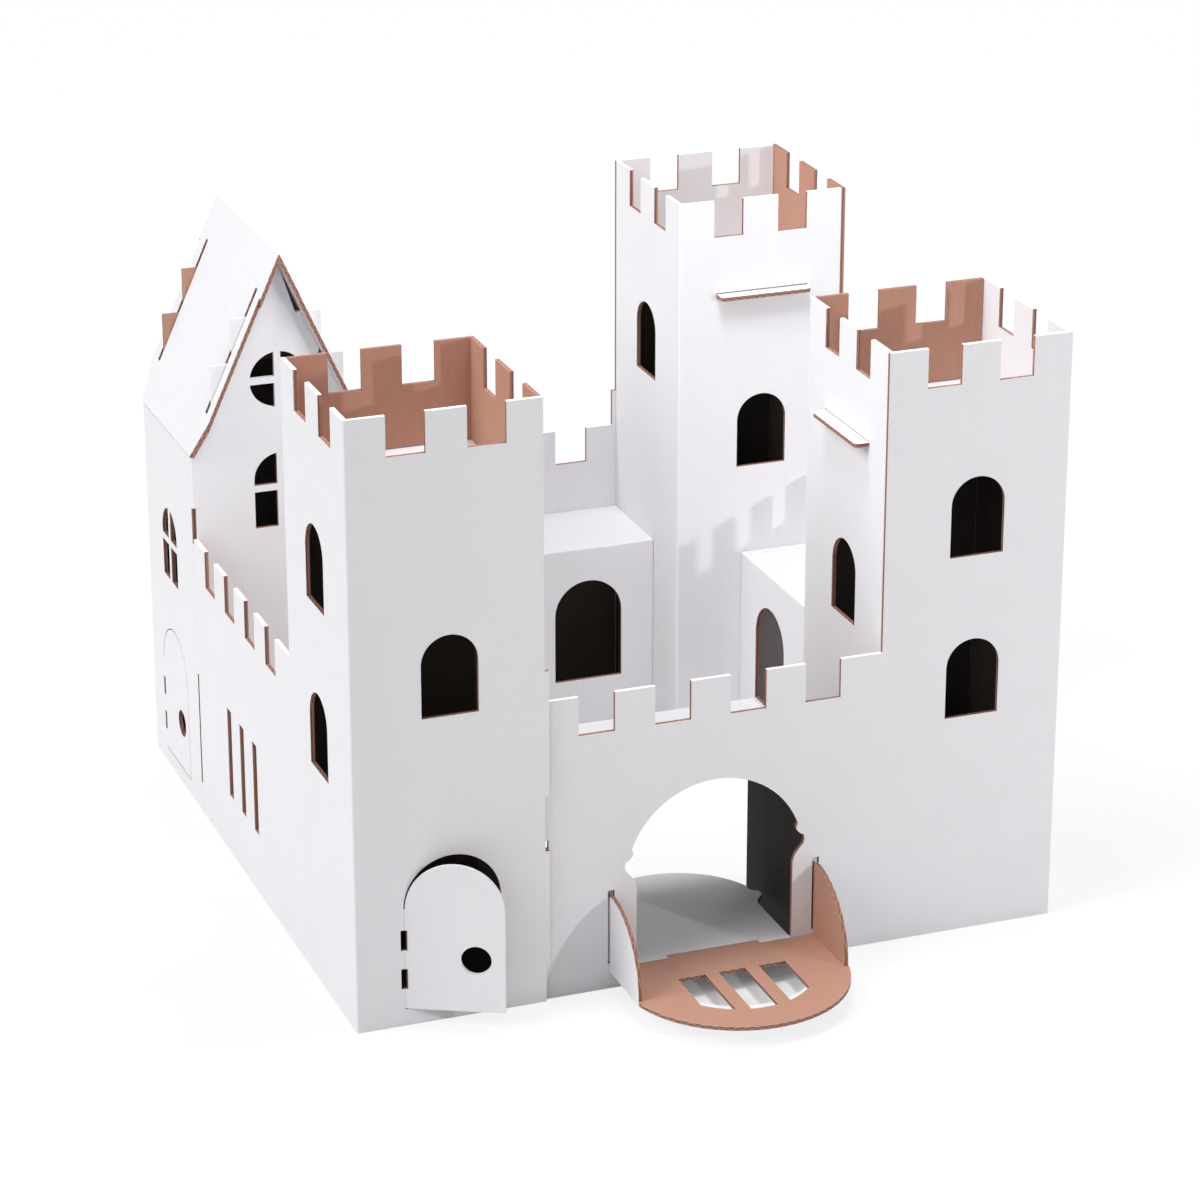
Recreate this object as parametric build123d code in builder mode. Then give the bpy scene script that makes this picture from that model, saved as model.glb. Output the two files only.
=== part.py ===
from build123d import *
import math
import os

os.makedirs("parts", exist_ok=True)

# All sizes are millimetres. X runs right along the gate front, Y runs back and Z is up.
# The origin is the near bottom corner of tower 1, the front left tower, on the ground.

# board and clearances
BOARD = 3.0
SEAM = 0.3
GAP = 0.3

# square plan with a tower, the keep and the house in its corners
CASTLE_W = 505.0
CASTLE_D = 506.0
TOWER_1 = 135.0
TOWER = 132.0
TOWER_H = 425.0
FRONT_Y = BOARD + 0.2
RIGHT_X = CASTLE_W - TOWER
BACK_Y = CASTLE_D - TOWER

# battlements
MERLON = 27.5
MERLON_H = 27.5
TOWER_NOTCH_Z = TOWER_H - MERLON_H
WALL_TOP = 215.0
WALL_NOTCH_Z = WALL_TOP - MERLON_H
NOTCH_COUNT = 4
FRONT_RUN = RIGHT_X - TOWER_1
FRONT_NOTCH_W = FRONT_RUN * 25.5 / 238
FRONT_NOTCH_PITCH = FRONT_RUN * 53.7 / 238
FRONT_NOTCH_FIRST = TOWER_1 + FRONT_RUN * 21.5 / 238
SIDE_RUN = BACK_Y - TOWER_1
SIDE_NOTCH_W = SIDE_RUN * 24.5 / 239
SIDE_NOTCH_PITCH = SIDE_RUN * 50.5 / 239
SIDE_NOTCH_FIRST = TOWER_1 + SIDE_RUN * 35 / 239
HOOK_TOP = WALL_TOP + MERLON_H

# windows
WIN_W = 39.0
WIN_H = TOWER_H * 56 / 425
SILL_LOW = TOWER_H * 160 / 425
SILL_MID = TOWER_H * 217 / 425
SILL_HIGH = TOWER_H * 276 / 425
MULLION = 5.0
CROSS_BAR_UP = WIN_H * 30 / 56
ROUND_R = 20.8
ROUND_DROP = 97.0
ROUND_Z = TOWER_H - ROUND_DROP

# slits in the left wall
SLIT_W = 10.6
SLIT_H = 68.0
SLIT_SILL = 46.0
SLIT_PITCH = SIDE_RUN * 32 / 239
SLIT_MIDDLE = SIDE_NOTCH_FIRST + SIDE_RUN * 92 / 239

# door flaps
DOOR_W = 67.5
DOOR_TOP = 118.5
DOOR_SILL = 12.0
DOOR_HINGE_X = 33.3
DOOR_ANGLE = 27.0
DOOR_KERF = 0.8
DOOR_HOLE_R = 10.2
DOOR_HOLE_IN = 47.5
DOOR_HOLE_Z = 50.0
HOUSE_HINGE_Y = BACK_Y + TOWER * 101 / 132
HOUSE_WINDOW_Y = BACK_Y + TOWER * 69 / 132
HINGE_SLOT_W = 4.5
HINGE_SLOT_H = 14.5
HINGE_SLOT_LOW = 27.0
HINGE_SLOT_HIGH = 55.0

# ears of tower 1's front panel, which lap over the curtain's end, and the small notch between them
EAR_TOP = 238.0
EAR_HIGH_FOOT = 149.5
EAR_LOW_TOP = 110.0
EAR_NOTCH = 6.0

# slots left open at the wall corners
FOOT_SLOT_W = 2.7
FOOT_SLOT_H = 25.6
CORNER_SLOT_W = 2.6
CORNER_SLOT_UNDER_EAVE = 38.3
CORNER_SLOT_SHORT = 27.0
CORNER_SLOT_FOOT = 24.0
CORNER_SLOT_LONG = 86.0

# gate
GATE_X = TOWER_1 + FRONT_RUN / 2
GATE_SILL = 15.2
GATE_HALF = 56.5
GATE_CROWN = 141.8
CAPITAL_HALF = 65.0
CAPITAL_LOW = 72.0
CAPITAL_HIGH = 100.0
FLAP_KERF = 0.6

# drawbridge
CHEEK_MIDDLE = 74.0
CHEEK_R = 53.0
CHEEK_TAB_LOW = 19.0
CHEEK_TAB_HIGH = 66.0
CHEEK_SLOT_HIGH = 72.5
CHEEK_SLOT_EXTRA = 1.2
CHEEK_TAB_OUT = 9.0
NOSE_R = 77.5
NOSE_Y = -33.5
GRATE_W = 19.5
GRATE_PITCH = 29.0
GRATE_BACK = -27.7
GRATE_R = 52.6
BRIDGE_TAB_W = 66.0
BRIDGE_TAB_OUT = 4.0

# gate lining, hall and passage share one height
HALL_TOP = 148.5
LINING_HALF = 70.0
LINING_BACK = 108.0
HALL_DEEP = 83.5
PASSAGE_DEEP = 79.5
HALL_Y = CASTLE_D - HALL_DEEP
PASSAGE_X = CASTLE_W - PASSAGE_DEEP
ARCH_W = 54.0
ARCH_SILL = 41.0
ARCH_TOP = 121.8
HALL_ARCH_OUT = FRONT_RUN * 67.5 / 238
PASSAGE_ARCH_OUT = SIDE_RUN * 62.5 / 239
HALL_FOOT = 4.7

# decks inside the towers
DECK_DROP = 71.0
DECK_TOP = TOWER_H - DECK_DROP
DECK_TAB_W = 72.0
DECK_TAB_OUT = 4.0
DECK_TAB_ROUND = 3.5
DECK_SLOT_OVER = 0.9
DECK_TAB_ROOT = 12.0

# house roof and the crow steps of its gables
RIDGE_X = TOWER / 2
ROOF_ANGLE = 65.56
ROOF_SLOPE = math.tan(math.radians(ROOF_ANGLE))
ROOF_EAVE = 0.8
ROOF_FRONT = 10.5
ROOF_REAR = 12.5
CAP_RUN = 14.5
CAP_EXTRA = 2.5
STEP_1_OUT = 33.0
STEP_1_DROP = 49.0
STEP_1_TOP = TOWER_H - STEP_1_DROP
STEP_2_OUT = 49.0
STEP_2_DROP = 82.0
STEP_2_TOP = TOWER_H - STEP_2_DROP
RELIEF_TOP = 4.0
RELIEF_IN = 4.5
RELIEF_STEP = 3.0
ROOF_SLOT_FROM = 12.8
ROOF_SLOT_TO = 53.0
ROOF_SLOT_W = 4.6
TAPER_FROM = 54.5


def span(start, end, top, low, notches):
    """Top edge of one stretch of wall, dropping to low for each notch given as (start, width)."""
    points = [(start, top)]
    for first, width in notches:
        points += [(first, top), (first, low), (first + width, low), (first + width, top)]
    return points + [(end, top)]


def tower_edge(start, end):
    """Top edge of one tower side with its three merlons and two notches."""
    gap = (end - start - 3 * MERLON) / 2
    notches = [(start + MERLON, gap), (start + 2 * MERLON + gap, gap)]
    return span(start, end, TOWER_H, TOWER_NOTCH_Z, notches)


def low_edge(start, end, first, pitch, width):
    """Top edge of a low wall with its row of notches."""
    notches = [(first + i * pitch, width) for i in range(NOTCH_COUNT)]
    return span(start, end, WALL_TOP, WALL_NOTCH_Z, notches)


def front_plane(y):
    """Sketch plane whose x is the castle's X and whose y is Z; a negative amount goes towards the back."""
    return Plane(origin=(0, y, 0), x_dir=(1, 0, 0), z_dir=(0, -1, 0))


def side_plane(x):
    """Sketch plane whose x is the castle's Y and whose y is Z; a positive amount goes to the right."""
    return Plane(origin=(x, 0, 0), x_dir=(0, 1, 0), z_dir=(1, 0, 0))


def closed(points):
    """Face inside a closed run of points, on the open sketch."""
    with BuildLine() as outline:
        Polyline(*points, close=True)
    make_face(outline.edges())


def wall_face(top_edge):
    """Wall from the ground up to its top edge, on the open sketch."""
    closed([(top_edge[0][0], 0)] + top_edge + [(top_edge[-1][0], 0)])


def arched(x, sill, width, height, mode=Mode.ADD):
    """Rectangle under a half circle, on the open sketch."""
    radius = width / 2
    spring = sill + height - radius
    with BuildLine() as outline:
        Polyline((x - radius, spring), (x - radius, sill), (x + radius, sill), (x + radius, spring))
        ThreePointArc((x + radius, spring), (x, spring + radius), (x - radius, spring))
    make_face(outline.edges(), mode=mode)


def window(x, sill):
    """Plain arched window cut from the open sketch."""
    arched(x, sill, WIN_W, WIN_H, Mode.SUBTRACT)


def barred_window(x, sill):
    """Arched window cut from the open sketch, keeping an upright and a cross bar."""
    arched(x, sill, WIN_W, WIN_H, Mode.SUBTRACT)
    with Locations((x, sill + WIN_H / 2)):
        Rectangle(MULLION, WIN_H + 1)
    with Locations((x, sill + CROSS_BAR_UP)):
        Rectangle(WIN_W + 1, MULLION)


def round_window(x, z):
    """Round window cut from the open sketch, keeping its cross bars."""
    with Locations((x, z)):
        Circle(ROUND_R, mode=Mode.SUBTRACT)
        Rectangle(MULLION, 2 * ROUND_R + 1)
        Rectangle(2 * ROUND_R + 1, MULLION)


def slot(x_low, x_high, z_low, z_high):
    """Rectangular slot cut from the open sketch."""
    with Locations(((x_low + x_high) / 2, (z_low + z_high) / 2)):
        Rectangle(x_high - x_low, z_high - z_low, mode=Mode.SUBTRACT)


def deck_slot(x):
    """Slot for a deck's tab, cut from the open sketch."""
    half = DECK_TAB_W / 2 + GAP
    slot(x - half, x + half, DECK_TOP - BOARD - GAP, DECK_TOP + DECK_SLOT_OVER)


def hinge_slots(x):
    """Two short slots that free a door flap at its fold, cut from the open sketch."""
    for z in (HINGE_SLOT_LOW, HINGE_SLOT_HIGH):
        slot(x - HINGE_SLOT_W / 2, x + HINGE_SLOT_W / 2, z, z + HINGE_SLOT_H)


def gate_face(inset, mode=Mode.ADD):
    """Gate outline with moulded capitals, on the open sketch; inset draws it in for the folded flap."""
    low = CAPITAL_LOW
    out = CAPITAL_HALF - GATE_HALF
    rise = CAPITAL_HIGH - CAPITAL_LOW
    half = [
        (GATE_HALF, GATE_SILL),
        (GATE_HALF, low),
        (GATE_HALF + 0.19 * out, low + 0.18 * rise),
        (GATE_HALF + 0.56 * out, low + 0.32 * rise),
        (GATE_HALF + 0.91 * out, low + 0.45 * rise),
        (GATE_HALF + out, low + 0.57 * rise),
        (GATE_HALF + 0.91 * out, low + 0.68 * rise),
        (GATE_HALF + 0.65 * out, low + 0.71 * rise),
        (GATE_HALF + 0.35 * out, low + 0.8 * rise),
        (GATE_HALF + 0.26 * out, low + 0.89 * rise),
        (GATE_HALF + 0.4 * out, low + rise),
    ]
    right = [(GATE_X + x - inset, z) for x, z in half]
    left = [(GATE_X - x + inset, z) for x, z in reversed(half)]
    with BuildLine() as outline:
        Polyline(*right)
        ThreePointArc(right[-1], (GATE_X, GATE_CROWN - inset), left[0])
        Polyline(*left)
        Line(left[-1], right[0])
    make_face(outline.edges(), mode=mode)


def roof_z(out, under=0.0):
    """Height of the roof's outer face at a distance out from the ridge, or that much under it."""
    return TOWER_H - ROOF_SLOPE * out - under


SLOPE_DROP = BOARD * math.sqrt(1 + ROOF_SLOPE * ROOF_SLOPE)
GABLE_DROP = SLOPE_DROP + GAP
EAVE_OUT = RIDGE_X + ROOF_EAVE
EAVE_IN = BOARD * math.sin(math.radians(ROOF_ANGLE))
SIDE_H = roof_z(EAVE_OUT - EAVE_IN, GABLE_DROP)


def gable_edge():
    """Right half of a gable's top edge, from the ridge over the relief cuts and crow steps to the eave."""
    return [
        (0, roof_z(0, GABLE_DROP)),
        (RELIEF_TOP, roof_z(RELIEF_TOP, GABLE_DROP)),
        ((TOWER_H - GABLE_DROP - STEP_1_TOP) / ROOF_SLOPE - RELIEF_IN, STEP_1_TOP),
        (STEP_1_OUT, STEP_1_TOP),
        (STEP_1_OUT, roof_z(STEP_1_OUT)),
        (STEP_1_OUT - RELIEF_STEP, STEP_2_TOP),
        (STEP_2_OUT, STEP_2_TOP),
        (STEP_2_OUT, roof_z(STEP_2_OUT, GABLE_DROP)),
        (EAVE_OUT - EAVE_IN, SIDE_H),
        (RIDGE_X, SIDE_H),
        (RIDGE_X, 0),
    ]


def gable_face():
    """Whole gable wall on the open sketch."""
    right = [(RIDGE_X + x, z) for x, z in gable_edge()]
    left = [(RIDGE_X - x, z) for x, z in reversed(gable_edge()[1:])]
    closed(right + left)


# Left wall sheet, folded at its near corner: front and left of tower 1, then the low wall to the house
LEFT_END = BACK_Y - SEAM
DOOR_TURN = math.radians(DOOR_ANGLE)
DOOR_OUT = (-math.sin(DOOR_TURN), -math.cos(DOOR_TURN), 0)
DOOR_ALONG = (math.cos(DOOR_TURN), -math.sin(DOOR_TURN), 0)
DOOR_H = DOOR_TOP - DOOR_SILL
with BuildPart() as left_wall:
    with BuildSketch(side_plane(0)):
        wall = low_edge(TOWER_1, LEFT_END, SIDE_NOTCH_FIRST, SIDE_NOTCH_PITCH, SIDE_NOTCH_W)
        wall_face(tower_edge(0, TOWER_1) + wall)
        window(TOWER_1 / 2 + 3, SILL_HIGH)
        window(TOWER_1 / 2 + 3, SILL_LOW - 2)
        for i in (-1, 0, 1):
            middle = SLIT_MIDDLE + i * SLIT_PITCH
            slot(middle - SLIT_W / 2, middle + SLIT_W / 2, SLIT_SILL, SLIT_SILL + SLIT_H)
    extrude(amount=BOARD)
    with BuildSketch(front_plane(0)):
        wall_face(tower_edge(0, TOWER_1))
        window(TOWER_1 / 2, SILL_MID)
        arched(DOOR_HINGE_X + DOOR_W / 2, DOOR_SILL, DOOR_W, DOOR_H, Mode.SUBTRACT)
        slot(TOWER_1 - FOOT_SLOT_W, TOWER_1, 0, FOOT_SLOT_H)
        slot(TOWER_1 - BOARD, TOWER_1, EAR_LOW_TOP, EAR_HIGH_FOOT)
        slot(TOWER_1 - BOARD, TOWER_1, EAR_TOP, TOWER_H)
    extrude(amount=-BOARD)
    # the door leaf stands ajar on its fold at the left jamb
    with BuildSketch(Plane(origin=(DOOR_HINGE_X, 0, 0), x_dir=DOOR_ALONG, z_dir=DOOR_OUT)):
        arched(DOOR_W / 2, DOOR_SILL + DOOR_KERF, DOOR_W - 2 * DOOR_KERF, DOOR_H - 2 * DOOR_KERF)
        with Locations((DOOR_HOLE_IN, DOOR_HOLE_Z)):
            Circle(DOOR_HOLE_R, mode=Mode.SUBTRACT)
    extrude(amount=-BOARD)
    fold_h = DOOR_H - DOOR_W / 2 - DOOR_KERF
    with Locations((DOOR_HINGE_X + DOOR_KERF, BOARD / 2, DOOR_SILL + DOOR_KERF + fold_h / 2)):
        Box(4 * DOOR_KERF, BOARD, fold_h)
    for z in (HINGE_SLOT_LOW, HINGE_SLOT_HIGH):
        with Locations((DOOR_HINGE_X, 0, z + HINGE_SLOT_H / 2)):
            Box(HINGE_SLOT_W, 4 * BOARD, HINGE_SLOT_H, mode=Mode.SUBTRACT)
left_wall.part.label = "left_wall"
export_step(left_wall.part, "parts/left_wall.step")

# Inner sheet of tower 1, folded once: its right and back walls
INNER_1_X = TOWER_1 - BOARD
MIDDLE_1 = (TOWER_1 + FRONT_Y) / 2
with BuildPart() as tower_1_inner:
    with BuildSketch(side_plane(INNER_1_X - BOARD)):
        wall_face(tower_edge(FRONT_Y, TOWER_1))
        deck_slot(MIDDLE_1)
    extrude(amount=BOARD)
    with BuildSketch(front_plane(TOWER_1 - BOARD)):
        wall_face(tower_edge(BOARD + SEAM, INNER_1_X))
        deck_slot(INNER_1_X / 2)
    extrude(amount=-BOARD)
tower_1_inner.part.label = "tower_1_inner"
export_step(tower_1_inner.part, "parts/tower_1_inner.step")

# Front sheet: crenellated curtain with the gate and its folded flap, and the front of tower 2
CURTAIN_X = INNER_1_X + SEAM
TOWER_2_MIDDLE = RIGHT_X + TOWER / 2
with BuildPart() as front_wall:
    with BuildSketch(front_plane(FRONT_Y)):
        curtain = low_edge(CURTAIN_X, RIGHT_X, FRONT_NOTCH_FIRST, FRONT_NOTCH_PITCH, FRONT_NOTCH_W)
        wall_face(curtain + tower_edge(RIGHT_X, CASTLE_W))
        window(TOWER_2_MIDDLE + 1, SILL_HIGH)
        window(TOWER_2_MIDDLE + 1, SILL_LOW)
        gate_face(0, Mode.SUBTRACT)
        slot(CURTAIN_X, TOWER_1 + SEAM, EAR_LOW_TOP, EAR_LOW_TOP + EAR_NOTCH)
        for side in (-1, 1):
            middle = GATE_X + side * CHEEK_MIDDLE
            half = BOARD / 2 + GAP
            slot(middle - half - CHEEK_SLOT_EXTRA, middle + half, CHEEK_TAB_LOW - GAP, CHEEK_SLOT_HIGH)
    extrude(amount=-BOARD)
    # the flap keeps its fold at the sill and lies back into the gateway, white face up
    flap_plane = Plane(origin=(0, FRONT_Y - GATE_SILL, GATE_SILL), x_dir=(1, 0, 0), z_dir=(0, 0, 1))
    with BuildSketch(flap_plane):
        gate_face(FLAP_KERF)
    extrude(amount=-BOARD)
    slot_y = BRIDGE_TAB_OUT + 2 * GAP
    with Locations((GATE_X, FRONT_Y + slot_y / 2, GATE_SILL - BOARD / 2)):
        Box(BRIDGE_TAB_W + 2 * GAP, slot_y, BOARD + 2 * GAP, mode=Mode.SUBTRACT)
front_wall.part.label = "front_wall"
export_step(front_wall.part, "parts/front_wall.step")

# Inner sheet of tower 2, folded once: its left and back walls
INNER_2_Y = FRONT_Y + BOARD + SEAM
TOWER_2_BACK = FRONT_Y + TOWER
MIDDLE_2 = FRONT_Y + TOWER / 2
OUTER_X = CASTLE_W - BOARD
with BuildPart() as tower_2_inner:
    with BuildSketch(side_plane(RIGHT_X)):
        wall_face(tower_edge(INNER_2_Y, TOWER_2_BACK))
        window(MIDDLE_2, SILL_MID)
        deck_slot(MIDDLE_2)
    extrude(amount=BOARD)
    with BuildSketch(front_plane(TOWER_2_BACK - BOARD)):
        wall_face(tower_edge(RIGHT_X, OUTER_X - SEAM))
    extrude(amount=-BOARD)
tower_2_inner.part.label = "tower_2_inner"
export_step(tower_2_inner.part, "parts/tower_2_inner.step")

# Right sheet: right side of tower 2 and the low wall back to the keep
with BuildPart() as right_wall:
    with BuildSketch(side_plane(OUTER_X)):
        wall = low_edge(TOWER_2_BACK, LEFT_END, SIDE_NOTCH_FIRST, SIDE_NOTCH_PITCH, SIDE_NOTCH_W)
        wall_face(tower_edge(INNER_2_Y, TOWER_2_BACK) + wall)
        deck_slot(MIDDLE_2)
    extrude(amount=BOARD)
right_wall.part.label = "right_wall"
export_step(right_wall.part, "parts/right_wall.step")

# Keep sheet, folded at its near corner: the keep's front and left walls
INNER_BACK_Y = CASTLE_D - BOARD
KEEP_MIDDLE_Y = BACK_Y + TOWER / 2
with BuildPart() as keep_front:
    with BuildSketch(front_plane(BACK_Y)):
        wall_face(tower_edge(RIGHT_X, OUTER_X - SEAM))
        window(TOWER_2_MIDDLE + 1, SILL_MID)
        deck_slot(TOWER_2_MIDDLE)
    extrude(amount=-BOARD)
    with BuildSketch(side_plane(RIGHT_X)):
        wall_face(tower_edge(BACK_Y, INNER_BACK_Y - SEAM))
        window(KEEP_MIDDLE_Y, SILL_HIGH)
    extrude(amount=BOARD)
keep_front.part.label = "keep_front"
export_step(keep_front.part, "parts/keep_front.step")

# Right wall of the keep
with BuildPart() as keep_right:
    with BuildSketch(side_plane(OUTER_X)):
        wall_face(tower_edge(BACK_Y, CASTLE_D))
    extrude(amount=BOARD)
keep_right.part.label = "keep_right"
export_step(keep_right.part, "parts/keep_right.step")

# Back sheet: low back wall, its hook beside the keep, and the keep's back wall
BACK_NOTCH_FIRST = CASTLE_W - FRONT_NOTCH_FIRST - FRONT_NOTCH_W - (NOTCH_COUNT - 1) * FRONT_NOTCH_PITCH
HOOK_X = RIGHT_X - BOARD - SEAM
with BuildPart() as back_wall:
    with BuildSketch(front_plane(INNER_BACK_Y)):
        wall = low_edge(TOWER + SEAM, HOOK_X, BACK_NOTCH_FIRST, FRONT_NOTCH_PITCH, FRONT_NOTCH_W)
        wall_face(wall + [(HOOK_X, HOOK_TOP), (RIGHT_X, HOOK_TOP)] + tower_edge(RIGHT_X, OUTER_X - SEAM))
        deck_slot(TOWER_2_MIDDLE)
    extrude(amount=-BOARD)
back_wall.part.label = "back_wall"
export_step(back_wall.part, "parts/back_wall.step")

# House sheet wrapped round its four sides, with crow-stepped gables that stand up through the roof
HIGH_SLOT_TOP = SIDE_H - CORNER_SLOT_UNDER_EAVE
with BuildPart() as house:
    for y in (BACK_Y, INNER_BACK_Y):
        with BuildSketch(front_plane(y)):
            gable_face()
            if y == BACK_Y:
                barred_window(RIDGE_X, SILL_MID)
                round_window(RIDGE_X, ROUND_Z)
                slot(0, CORNER_SLOT_W, HIGH_SLOT_TOP - CORNER_SLOT_SHORT, HIGH_SLOT_TOP)
                slot(0, CORNER_SLOT_W, CORNER_SLOT_FOOT, CORNER_SLOT_FOOT + CORNER_SLOT_LONG)
        extrude(amount=-BOARD)
    for x in (0, TOWER - BOARD):
        with BuildSketch(side_plane(x)):
            front = BACK_Y + BOARD
            closed([(front, 0), (front, SIDE_H), (INNER_BACK_Y, SIDE_H), (INNER_BACK_Y, 0)])
            if x == 0:
                barred_window(HOUSE_WINDOW_Y, SILL_LOW - 2)
                door_y = HOUSE_HINGE_Y - DOOR_W / 2
                arched(door_y, DOOR_SILL, DOOR_W, DOOR_H, Mode.SUBTRACT)
                arched(door_y, DOOR_SILL + DOOR_KERF, DOOR_W - 2 * DOOR_KERF, DOOR_H - 2 * DOOR_KERF)
                with Locations((HOUSE_HINGE_Y, DOOR_SILL + fold_h / 2 + DOOR_KERF)):
                    Rectangle(4 * DOOR_KERF, fold_h)
                with Locations((HOUSE_HINGE_Y - DOOR_HOLE_IN, DOOR_HOLE_Z)):
                    Circle(DOOR_HOLE_R, mode=Mode.SUBTRACT)
                hinge_slots(HOUSE_HINGE_Y)
        extrude(amount=BOARD)
house.part.label = "house"
export_step(house.part, "parts/house.step")

# Roof sheet folded at the ridge: its ends taper to the eaves, and its slots take the gables' crow steps
ROOF_Y0 = BACK_Y - ROOF_FRONT
ROOF_Y1 = CASTLE_D + ROOF_REAR
EAVE_INNER = (EAVE_OUT - EAVE_IN, roof_z(EAVE_OUT - EAVE_IN, SLOPE_DROP))
with BuildPart() as roof:
    with BuildSketch(front_plane(ROOF_Y0 - CAP_EXTRA)):
        closed([
            (RIDGE_X, roof_z(0)),
            (RIDGE_X + EAVE_OUT, roof_z(EAVE_OUT)),
            (RIDGE_X + EAVE_INNER[0], EAVE_INNER[1]),
            (RIDGE_X, roof_z(0, SLOPE_DROP)),
            (RIDGE_X - EAVE_INNER[0], EAVE_INNER[1]),
            (RIDGE_X - EAVE_OUT, roof_z(EAVE_OUT)),
        ])
    extrude(amount=-(ROOF_Y1 - ROOF_Y0 + 2 * CAP_EXTRA))
    outline = [
        (CAP_RUN, ROOF_Y0 - CAP_EXTRA),
        (CAP_RUN, ROOF_Y0),
        (TAPER_FROM, ROOF_Y0),
        (EAVE_OUT, BACK_Y),
        (EAVE_OUT, CASTLE_D),
        (TAPER_FROM, ROOF_Y1),
        (CAP_RUN, ROOF_Y1),
        (CAP_RUN, ROOF_Y1 + CAP_EXTRA),
    ]
    with BuildSketch():
        closed([(RIDGE_X + x, y) for x, y in outline] + [(RIDGE_X - x, y) for x, y in reversed(outline)])
    extrude(amount=TOWER_H + 1, mode=Mode.INTERSECT)
    for y in (BACK_Y + BOARD / 2, CASTLE_D - BOARD / 2):
        for side in (-1, 1):
            out = (ROOF_SLOT_FROM + ROOF_SLOT_TO) / 2
            with Locations((RIDGE_X + side * out, y, roof_z(out))):
                Box(ROOF_SLOT_TO - ROOF_SLOT_FROM, ROOF_SLOT_W, 4 * TOWER, mode=Mode.SUBTRACT)
roof.part.label = "roof"
export_step(roof.part, "parts/roof.step")

# Gate lining, one sheet folded twice into a tunnel behind the gate
with BuildPart() as gate_lining:
    with BuildSketch(front_plane(INNER_2_Y)):
        inner = LINING_HALF - BOARD
        closed([
            (GATE_X - LINING_HALF, 0),
            (GATE_X - LINING_HALF, HALL_TOP),
            (GATE_X + LINING_HALF, HALL_TOP),
            (GATE_X + LINING_HALF, 0),
            (GATE_X + inner, 0),
            (GATE_X + inner, HALL_TOP - BOARD),
            (GATE_X - inner, HALL_TOP - BOARD),
            (GATE_X - inner, 0),
        ])
    extrude(amount=-(LINING_BACK - INNER_2_Y))
gate_lining.part.label = "gate_lining"
export_step(gate_lining.part, "parts/gate_lining.step")

# Hall along the back, one sheet folded once: its arched front and its flat top
HALL_X0 = TOWER + SEAM
HALL_X1 = RIGHT_X - SEAM
HALL_MIDDLE = (HALL_X0 + HALL_X1) / 2
with BuildPart() as hall:
    with BuildSketch(front_plane(HALL_Y)):
        closed([(HALL_X0, HALL_FOOT), (HALL_X0, HALL_TOP), (HALL_X1, HALL_TOP), (HALL_X1, HALL_FOOT)])
        for side in (-1, 1):
            middle = HALL_MIDDLE + side * HALL_ARCH_OUT
            arched(middle, ARCH_SILL, ARCH_W, ARCH_TOP - ARCH_SILL, Mode.SUBTRACT)
    extrude(amount=-BOARD)
    top_y = INNER_BACK_Y - SEAM - HALL_Y
    with Locations((HALL_MIDDLE, HALL_Y + top_y / 2, HALL_TOP - BOARD / 2)):
        Box(HALL_X1 - HALL_X0, top_y, BOARD)
hall.part.label = "hall"
export_step(hall.part, "parts/hall.step")

# Passage along the right side, made the same way
PASSAGE_Y0 = TOWER_2_BACK + SEAM
PASSAGE_Y1 = BACK_Y - SEAM
PASSAGE_MIDDLE = (PASSAGE_Y0 + PASSAGE_Y1) / 2
with BuildPart() as passage:
    with BuildSketch(side_plane(PASSAGE_X)):
        closed([(PASSAGE_Y0, 0), (PASSAGE_Y0, HALL_TOP), (PASSAGE_Y1, HALL_TOP), (PASSAGE_Y1, 0)])
        for side in (-1, 1):
            middle = PASSAGE_MIDDLE + side * PASSAGE_ARCH_OUT
            arched(middle, ARCH_SILL, ARCH_W, ARCH_TOP - ARCH_SILL, Mode.SUBTRACT)
    extrude(amount=BOARD)
    top_x = OUTER_X - SEAM - PASSAGE_X
    with Locations((PASSAGE_X + top_x / 2, PASSAGE_MIDDLE, HALL_TOP - BOARD / 2)):
        Box(top_x, PASSAGE_Y1 - PASSAGE_Y0, BOARD)
passage.part.label = "passage"
export_step(passage.part, "parts/passage.step")

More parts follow.
